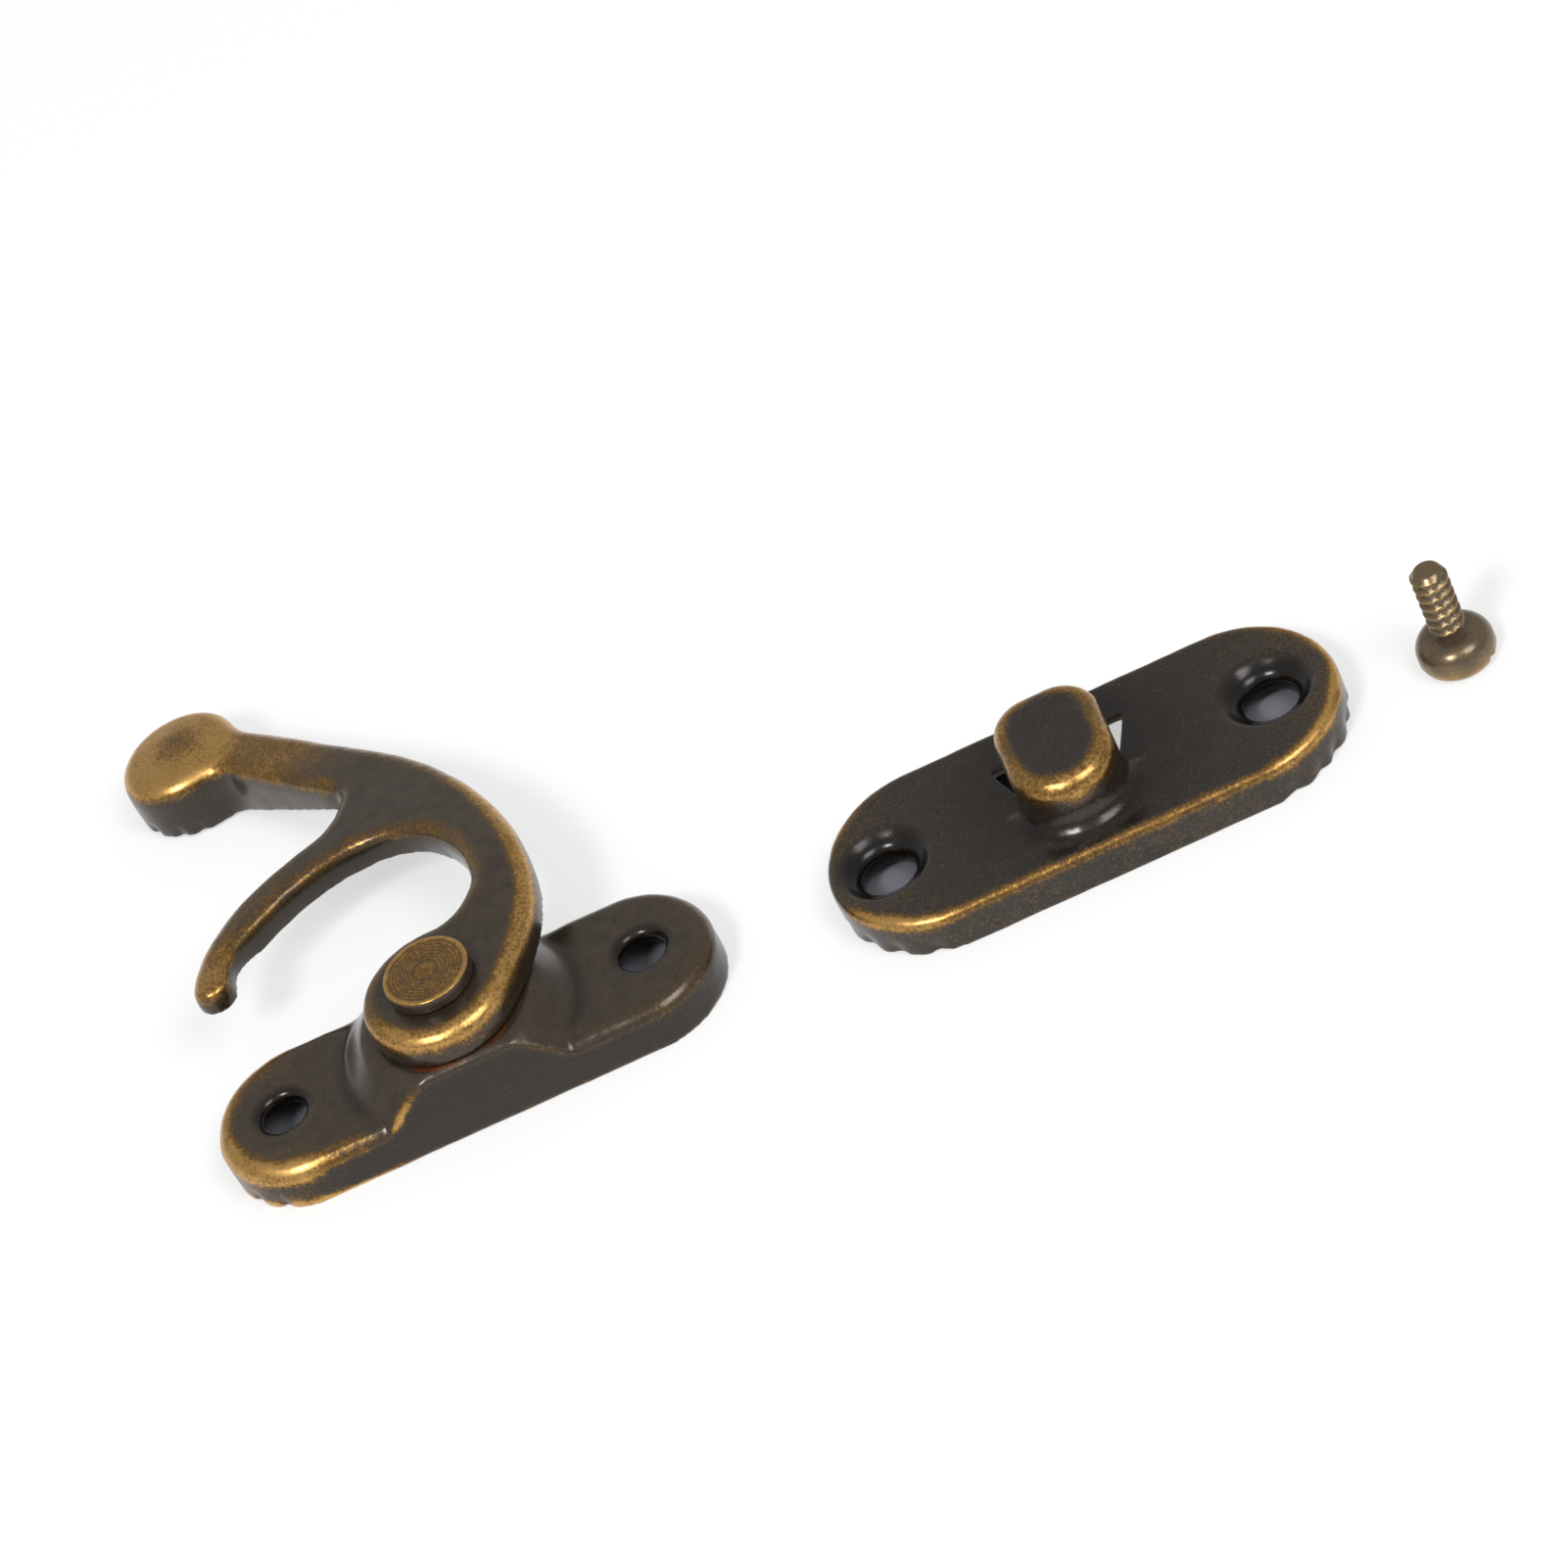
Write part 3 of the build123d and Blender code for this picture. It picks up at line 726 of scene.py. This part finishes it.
class HASP_OT_catch_plate(Operator):
    """Dress the catch plate: nearly black, rubbed on the front rim and keeper, skirt ends torn"""

    bl_idname = "hasp.catch_plate"
    bl_label = "Catch Plate"

    # dishes round the screw holes: radii and height of what is softened, and of what is drawn down
    DISH_SOFT, DISH_RISE, DISH_ROUNDS, DISH_DRAWN = 2.3, (1.9, 2.3), 40, 1.9
    LEFT_PLEATS = (-170.0, -148.0, -130.0, -108.0)
    RIGHT_PLEATS = (-13.5, -27.0, -47.0, -60.0, -78.0)
    # edges of the sheet and of the keeper's hood
    EDGE_REACH, EDGE_HEIGHTS = 0.4, (0.015, 0.1)
    HOOD_REACH, HOOD_HEIGHTS, HOOD_RISE, HOOD_WEAR = 0.55, (0.02, 0.13), (3.3, 4.2), 0.7
    # regions across the plate, from its middle to its ends, and up
    FRONT, ENDS, RIM_RISE = (3.0, -3.0), (7.0, 13.0), (0.6, 1.4)
    RIM_FROM_HOLE, BLACK_TO_HOLE = 2.9, 2.0
    RIM_WEAR, FRONT_WEAR, END_WEAR = 0.25, 0.4, 0.25
    FLAT_WEAR, FLAT_END_WEAR, WALL_WEAR = 0.04, 0.16, 0.13
    # the keeper: its place behind the plate's middle, its height, and the black flat round it
    KEEPER_BACK, KEEPER_RISE = 0.6, (2.6, 3.0)
    KEEPER_FOOT, KEEPER_BLACK, KEEPER_ROUND = (4.4, 5.2), 0.6, (10.0, 4.0)

    def execute(self, context):
        form, finish = context.scene.hasp_form, context.scene.hasp_finish
        piece = sheet_skin("catch_plate", "catch_plate_sheet", form)
        points, _ = points_of(piece)
        dish = 1.0 - off_holes(points, "catch_plate_screws", self.DISH_SOFT)
        soften(piece, dish * ramp(*self.DISH_RISE, points[:, 2]), self.DISH_ROUNDS)
        points, _ = points_of(piece)
        drawn = 1.0 - off_holes(points, "catch_plate_screws", self.DISH_DRAWN)
        points[:, 2] -= form.dish_depth / MM * drawn
        low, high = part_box("catch_plate")
        half_width = (high.y - low.y) / MM / 2.0
        middle_y = low.y / MM + half_width
        left_x = low.x / MM + half_width
        right_x = high.x / MM - half_width
        gather_skirt(points, left_x, middle_y, half_width, self.LEFT_PLEATS, form)
        gather_skirt(points, right_x, middle_y, half_width, self.RIGHT_PLEATS, form)
        move_points(piece, points)
        points, facing = points_of(piece)
        middle_x = (left_x + right_x) / 2.0
        away = from_spot(points, middle_x, middle_y + self.KEEPER_BACK)
        lanced = ramp(*self.KEEPER_RISE, points[:, 2])
        plain = off_holes(points, "catch_plate_screws", self.BLACK_TO_HOLE)
        bare = np.maximum(ramp(*self.KEEPER_FOOT, away), lanced)
        wear = self.wear(piece, points, facing, middle_x) * plain * bare
        round_keeper = self.KEEPER_BLACK * ramp(*self.KEEPER_ROUND, away) * (1.0 - lanced)
        black = np.maximum(in_hollows(piece), np.maximum(1.0 - plain, round_keeper))
        coat(piece, np.maximum(wear, front_hem(points)), black)
        tones = sheet_tones(finish, finish.catch_patina)
        material = antique_bronze("antique_bronze_catch", tones, finish.speckle, finish)
        settle(piece, "catch_plate", "base", material)
        return {"FINISHED"}

    def wear(self, piece, points, facing, middle_x):
        """How far each point is rubbed bare, before the holes and keeper's foot are left out."""
        edge = ramp(*self.EDGE_HEIGHTS, standing_out(piece, self.EDGE_REACH))
        hood = ramp(*self.HOOD_HEIGHTS, standing_out(piece, self.HOOD_REACH))
        hood *= ramp(*self.HOOD_RISE, points[:, 2])
        front = ramp(*self.FRONT, points[:, 1])
        ends = ramp(*self.ENDS, np.abs(points[:, 0] - middle_x))
        edge *= ramp(*self.RIM_RISE, points[:, 2])
        edge *= off_holes(points, "catch_plate_screws", self.RIM_FROM_HOLE)
        edge *= self.RIM_WEAR + self.FRONT_WEAR * front + self.END_WEAR * ends
        rim = np.maximum(edge, self.HOOD_WEAR * hood)
        flat = (self.FLAT_WEAR + self.FLAT_END_WEAR * ends) * ramp(*TOPS, facing[:, 2])
        wall = self.WALL_WEAR * front * ramp(*WALLS, facing[:, 2])
        return rim + flat + wall


class HASP_OT_pivot_rivet(Operator):
    """Model the pivot rivet: a flat head with turned rings, a shank and a peened tail"""

    bl_idname = "hasp.pivot_rivet"
    bl_label = "Pivot Rivet"

    SEGMENTS, RIM_STEPS, CREASE_ANGLE = 96, 4, 35.0
    # rings: where they start inside the rim, as a share of their spacing, and where they end
    RINGS_START, RINGS_END = 0.6, 0.8
    # middle of the face: radius, and drop as a share of the rings' depth
    CENTRE = ((0.74, 0.8), (0.62, 0.8), (0.52, 0.0), (0.36, 0.0), (0.2, 0.4), (0.02, 0.4))
    # wear of the face, with its top's depth, its rim and its middle
    FACE_DEPTH, FACE_WEAR, RIDGE_WEAR = (0.1, 0.06), 0.42, 0.3
    RIM_WEAR, RIM_INSET, RIM_WIDTH = 0.4, 0.7, 0.1
    MIDDLE, MIDDLE_BLACK = (0.5, 0.7), 0.12

    def execute(self, context):
        form, finish = context.scene.hasp_form, context.scene.hasp_finish
        low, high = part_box("pivot_rivet")
        radius = (high.x - low.x) / MM / 2.0
        top = high.z / MM
        under_boss = (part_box("hook_plate")[1].z - form.sheet) / MM
        shank, seat, rim = form.rivet_shank / MM, form.rivet_seat / MM, form.rivet_rim / MM
        corners = [
            (shank, low.z / MM),
            (form.rivet_tail / MM, under_boss),
            (shank, under_boss),
            (shank, seat),
            (radius - rim, seat),
            (radius, seat + rim),
        ]
        corners.extend(quarter_round(radius - rim, top - rim, rim, rim, self.RIM_STEPS))
        corners.extend((away, top - drop) for away, drop in self.rings(radius - rim, form))
        piece = turned("pivot_rivet_turned", corners, 0.0, 0.0, self.SEGMENTS)
        only(piece)
        bpy.ops.object.shade_smooth_by_angle(angle=math.radians(self.CREASE_ANGLE))
        points, _ = points_of(piece)
        out = from_spot(points, 0.0, 0.0)
        face_low, face_high = (top - depth for depth in self.FACE_DEPTH)
        face = ramp(face_low, face_high, points[:, 2])
        ridge = ramp(top - form.ring_depth / MM, top, points[:, 2])
        at_rim = np.exp(-((out - radius + self.RIM_INSET * rim) / self.RIM_WIDTH) ** 2)
        middle = 1.0 - ramp(*self.MIDDLE, out)
        wear = self.FACE_WEAR + self.RIDGE_WEAR * ridge + self.RIM_WEAR * at_rim
        coat(piece, face * (wear - self.MIDDLE_BLACK * middle))
        tones = sheet_tones(finish, finish.patina)
        material = antique_bronze("antique_bronze_rivet", tones, finish.rivet_speckle, finish)
        settle(piece, "pivot_rivet", "base", material)
        return {"FINISHED"}

    def rings(self, radius, form):
        """Radius and drop of each turn of the head's face, from the rim in to the middle, in mm."""
        spacing, depth = form.ring_spacing / MM, form.ring_depth / MM
        turns = []
        away = radius - self.RINGS_START * spacing
        while away - spacing > self.RINGS_END:
            turns.extend([(away, 0.0), (away - spacing / 2.0, depth)])
            away -= spacing
        turns.append((away, 0.0))
        turns.extend((inner, drop * depth) for inner, drop in self.CENTRE)
        return turns


class HASP_OT_wood_screw(Operator):
    """Model the wood screw: threaded shank with a blunt tip on a slotted pan head"""

    bl_idname = "hasp.wood_screw"
    bl_label = "Wood Screw"

    SEGMENTS, SHOULDER_STEPS, TIP_STEPS, CREASE_ANGLE = 72, 8, 5, 40.0
    # round of the head's flat end: how far inside its rim and how high
    HEAD_ROUND = ((0.45, 0.0), (0.3, 0.05), (0.1, 0.25), (0.0, 0.55))
    # neck over the head: width and height; then the shank: its start, its rings and its end
    NECK, SHANK_START, SHANK_STEP, SHANK_END = (0.06, 0.03), 0.06, 0.05, 0.35
    TIP_REACH, TIP_RISE, TIP_FLAT = 0.32, 0.3, 0.05
    # thread: a tooth's peak before it is cut flat at 1, its fall per turn, and its two run-outs
    TOOTH_PEAK, TOOTH_FALL = 1.6, 6.0
    HEAD_RUN_OUT, TIP_RUN_OUT = (0.05, 0.4), (0.1, 0.4)
    # wear of the shank, its thread's crest, the head, its lower edge and the tip; the lower edge's
    # share is rubbing and painted light bounced up from the floor
    SHANK_WEAR, CREST_WEAR, HEAD_WEAR, LOWER_WEAR, TIP_WEAR = 0.32, 0.38, 0.4, 0.36, 0.1
    LOWER, TIP_LENGTH = (0.3, 1.1), (0.5, 0.1)
    # slot cutter: length in head radii, and height in slot widths, half of it under the floor
    CUTTER_LENGTH, CUTTER_HEIGHT = 3.0, 2.0

    def execute(self, context):
        form, finish = context.scene.hasp_form, context.scene.hasp_finish
        low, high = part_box("wood_screw")
        x, y = (low.x + high.x) / MM / 2.0, (low.y + high.y) / MM / 2.0
        radius, tip = (high.x - low.x) / MM / 2.0, high.z / MM
        head = form.screw_head / MM
        corners = self.half_section(form, radius, head, tip)
        piece = turned("wood_screw_threaded", corners, x, y, self.SEGMENTS)
        paint(piece, "crest", self.cut_thread(piece, form, x, y, head, tip))
        self.cut_slot(piece, form, x, y, radius)
        only(piece)
        bpy.ops.object.shade_smooth_by_angle(angle=math.radians(self.CREASE_ANGLE))
        points, _ = points_of(piece)
        crest = np.empty(len(points))
        piece.data.attributes["crest"].data.foreach_get("value", crest)
        # painted light from the floor on the rubbed rim: the head is brighter towards the floor
        lower = 1.0 - ramp(*self.LOWER, points[:, 2])
        end_low, end_high = (tip - depth for depth in self.TIP_LENGTH)
        end = ramp(end_low, end_high, points[:, 2])
        shank = self.SHANK_WEAR + self.CREST_WEAR * crest
        wear = np.maximum(shank, self.HEAD_WEAR + self.LOWER_WEAR * lower)
        coat(piece, wear + self.TIP_WEAR * end)
        tones = (
            finish.screw_patina, finish.screw_brown, finish.screw_bronze, finish.bright_bronze
        )
        material = antique_bronze("antique_bronze_screw", tones, finish.screw_speckle, finish)
        settle(piece, "wood_screw", "base", material)
        return {"FINISHED"}

    def half_section(self, form, radius, head, tip):
        """Corners of the screw's half section, from its head on the floor up to its tip, in mm."""
        core, shoulder = form.screw_core / MM, form.screw_shoulder / MM
        corners = [(radius - inset, level) for inset, level in self.HEAD_ROUND]
        rounded = quarter_round(
            radius - shoulder, head - shoulder, shoulder, shoulder, self.SHOULDER_STEPS
        )
        corners.extend(rounded[1:])
        wider, higher = self.NECK
        corners.append((core + wider, head + higher))
        level = head + self.SHANK_START
        while level < tip - self.SHANK_END:
            corners.append((core, level))
            level += self.SHANK_STEP
        blunt = quarter_round(
            core - self.TIP_REACH, tip - self.TIP_RISE, self.TIP_REACH, self.TIP_RISE,
            self.TIP_STEPS,
        )
        corners.extend(blunt[:-1])
        corners.append((self.TIP_FLAT, tip))
        return corners

    def cut_thread(self, piece, form, x, y, head, tip):
        """Draws the thread out of the shank along a right-hand helix; gives its share by point."""
        points, _ = points_of(piece)
        turns = points[:, 2] * MM / form.thread_pitch - round_spot(points, x, y) / 360.0
        from_crest = np.abs(turns % 1.0 - 0.5)
        tooth = np.clip(self.TOOTH_PEAK - self.TOOTH_FALL * from_crest, 0.0, 1.0)
        first, full = (head + rise for rise in self.HEAD_RUN_OUT)
        last, fading = (tip - depth for depth in self.TIP_RUN_OUT)
        crest = tooth * (ramp(first, full, points[:, 2]) * ramp(last, fading, points[:, 2]))
        grow = 1.0 + crest * (form.screw_crest / form.screw_core - 1.0)
        points[:, 0] = x + (points[:, 0] - x) * grow
        points[:, 1] = y + (points[:, 1] - y) * grow
        move_points(piece, points)
        return crest

    def cut_slot(self, piece, form, x, y, radius):
        """Cuts the slot across the underside of the head."""
        bpy.ops.object.select_all(action="DESELECT")
        bpy.ops.mesh.primitive_cube_add(size=1.0, location=(x * MM, y * MM, 0.0))
        cutter = bpy.context.object
        cutter.scale = (
            self.CUTTER_LENGTH * radius * MM, form.slot_width, self.CUTTER_HEIGHT * form.slot_width
        )
        cutter.rotation_euler = (0.0, 0.0, form.slot_turn)
        bpy.ops.object.transform_apply(location=True, rotation=True, scale=True)
        apply_modifier(piece, "BOOLEAN", operation="DIFFERENCE", solver="EXACT", object=cutter)
        bpy.data.meshes.remove(cutter.data)


class HASP_OT_stage(Operator):
    """Set the floor, the lamps, the sky and the camera"""

    bl_idname = "hasp.stage"
    bl_label = "Stage"

    # metres, but for the sensor and the slit, which are in millimetres
    FLOOR_SIZE, LAMP_DISTANCE, KEY_SIZE, FILL_SIZE = 4.0, 1.2, 0.25, 0.5
    SENSOR_WIDTH, NEAREST_SEEN = 36.0, 0.01
    KEY_AZIMUTH, KEY_ELEVATION = -35.0, 48.0
    FILL_AZIMUTH, FILL_ELEVATION = 40.0, 50.0
    # from the catch plate's left screw hole to the slit left of the keeper, under which shade is
    # painted on the paper
    SLIT = (7.35, 4.2)

    def execute(self, context):
        stage = context.scene.hasp_stage
        bpy.ops.object.select_all(action="DESELECT")
        bpy.ops.mesh.primitive_plane_add(size=self.FLOOR_SIZE)
        floor = context.object
        floor.name = "paper_floor"
        floor.data.materials.append(self.lit_paper(stage))
        self.soft_box("key_lamp", self.KEY_AZIMUTH, self.KEY_ELEVATION, self.KEY_SIZE, stage.key)
        self.soft_box(
            "fill_lamp", self.FILL_AZIMUTH, self.FILL_ELEVATION, self.FILL_SIZE, stage.fill
        )
        self.light_sky(context.scene, stage.sky)
        self.place_camera(context.scene, stage)
        context.scene.view_settings.view_transform = "Standard"
        return {"FINISHED"}

    def painted_shade_spots(self, stage):
        """Spots of the plan where shade is painted on the paper, in mm, and their radii in m."""
        spots = [(spot, stage.hook_painted_shade) for spot in screw_holes("hook_plate_screws")]
        spots.extend((spot, stage.catch_painted_shade) for spot in screw_holes("catch_plate_screws"))
        (left_x, left_y), _ = screw_holes("catch_plate_screws")
        slit_x, slit_y = self.SLIT
        spots.append(((left_x + slit_x, left_y + slit_y), stage.keeper_painted_shade))
        return spots

    def lit_paper(self, stage):
        """White paper, matt and lit from below as on a light table, with shade painted on it under the
        plates' holes and the slit by the keeper.
        """
        # the eye sees pale shadows on pure white; the grey through the holes of the plates and the slit
        # by the keeper is shade painted on the paper
        material = bpy.data.materials.new("white_paper")
        material.use_nodes = True
        tree = material.node_tree
        tree.nodes.clear()
        path = add(tree, "ShaderNodeLightPath").outputs
        mirrored = add(
            tree, "ShaderNodeMath", {0: path["Is Glossy Ray"], 1: path["Is Transmission Ray"]},
            operation="ADD",
        ).outputs[0]
        seen = add(
            tree, "ShaderNodeMath", {0: path["Is Camera Ray"], 1: mirrored}, operation="ADD"
        ).outputs[0]
        lit = add(
            tree, "ShaderNodeMath", {0: seen, 1: stage.glow}, operation="MULTIPLY"
        ).outputs[0]
        tone = (*stage.floor, 1.0)
        place = add(tree, "ShaderNodeTexCoord").outputs["Object"]
        # painted shade: in each spot the paper takes the painted shade colour and stops shining by
        # itself
        for (x, y), radius in self.painted_shade_spots(stage):
            away = add(
                tree, "ShaderNodeVectorMath", {0: place, 1: (x * MM, y * MM, 0.0)},
                operation="DISTANCE",
            ).outputs["Value"]
            clear = add(
                tree, "ShaderNodeMath", {0: away, 1: radius}, operation="GREATER_THAN"
            ).outputs[0]
            lit = add(tree, "ShaderNodeMath", {0: lit, 1: clear}, operation="MULTIPLY").outputs[0]
            tone = add(
                tree, "ShaderNodeMix",
                {FACTOR: clear, FIRST: (*stage.painted_shade, 1.0), SECOND: tone}, data_type="RGBA",
            ).outputs[MIXED]
        matt = add(tree, "ShaderNodeBsdfDiffuse", {"Color": tone}).outputs["BSDF"]
        light = add(tree, "ShaderNodeEmission", {"Color": WHITE, "Strength": 1.0}).outputs[0]
        shader = add(tree, "ShaderNodeMixShader", {0: lit, 1: matt, 2: light}).outputs[0]
        add(tree, "ShaderNodeOutputMaterial", {"Surface": shader})
        return material

    def soft_box(self, name, azimuth, elevation, size, power):
        """A square soft lamp that faces the middle of the latch, set by its direction."""
        middle = (CAD_LOW + CAD_HIGH) / 2.0
        away = self.direction(math.radians(azimuth), math.radians(elevation))
        bpy.ops.object.light_add(type="AREA", location=middle + away * self.LAMP_DISTANCE)
        lamp = bpy.context.object
        lamp.name = name
        lamp.data.size = size
        lamp.data.energy = power
        lamp.rotation_euler = away.to_track_quat("Z", "Y").to_euler()

    def direction(self, turn, lift):
        """From the latch towards a turn round it and a lift over the floor, in radians."""
        return Vector((
            math.sin(turn) * math.cos(lift), -math.cos(turn) * math.cos(lift), math.sin(lift)
        ))

    def light_sky(self, scene, strength):
        """Even white light from all round."""
        world = bpy.data.worlds.new("studio_white")
        world.use_nodes = True
        tree = world.node_tree
        tree.nodes.clear()
        sky = add(tree, "ShaderNodeBackground", {"Color": WHITE, "Strength": strength})
        add(tree, "ShaderNodeOutputWorld", {"Surface": sky.outputs["Background"]})
        scene.world = world

    def place_camera(self, scene, stage):
        """A long lens, turned so that the plates run up to the right."""
        turn, roll = stage.azimuth, stage.roll
        back = self.direction(turn, stage.elevation)
        level_right = Vector((math.cos(turn), math.sin(turn), 0.0))
        level_up = back.cross(level_right)
        right = level_right * math.cos(roll) + level_up * math.sin(roll)
        up = level_up * math.cos(roll) - level_right * math.sin(roll)
        bpy.ops.object.camera_add()
        camera = bpy.context.object
        camera.name = "studio_camera"
        camera.data.lens = stage.lens
        camera.data.sensor_width = self.SENSOR_WIDTH
        camera.data.clip_start = self.NEAREST_SEEN
        place = Matrix((right, up, back)).transposed().to_4x4()
        place.translation = Vector(stage.target) + back * stage.distance
        camera.matrix_world = place
        scene.camera = camera


class HASP_PT_panel(Panel):
    """Lists the pieces of the latch and the stage"""

    bl_label = "Hasp Latch"
    bl_idname = "HASP_PT_panel"
    bl_space_type = "VIEW_3D"
    bl_region_type = "UI"
    bl_category = "Hasp Latch"

    def draw(self, context):
        for operator in OPERATORS:
            self.layout.operator(operator.bl_idname)


GROUPS = (HaspForm, HaspFinish, HaspStage)
OPERATORS = (
    HASP_OT_hook_plate,
    HASP_OT_swing_hook,
    HASP_OT_pivot_rivet,
    HASP_OT_catch_plate,
    HASP_OT_wood_screw,
    HASP_OT_stage,
)


def register():
    for cls in (*GROUPS, *OPERATORS, HASP_PT_panel):
        bpy.utils.register_class(cls)
    bpy.types.Scene.hasp_form = PointerProperty(type=HaspForm)
    bpy.types.Scene.hasp_finish = PointerProperty(type=HaspFinish)
    bpy.types.Scene.hasp_stage = PointerProperty(type=HaspStage)


def unregister():
    del bpy.types.Scene.hasp_stage
    del bpy.types.Scene.hasp_finish
    del bpy.types.Scene.hasp_form
    for cls in (HASP_PT_panel, *reversed(OPERATORS), *reversed(GROUPS)):
        bpy.utils.unregister_class(cls)


def main():
    """Registers the classes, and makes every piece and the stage."""
    register()
    bpy.ops.hasp.hook_plate()
    bpy.ops.hasp.swing_hook()
    bpy.ops.hasp.pivot_rivet()
    bpy.ops.hasp.catch_plate()
    bpy.ops.hasp.wood_screw()
    bpy.ops.hasp.stage()


if __name__ == "__main__":
    main()
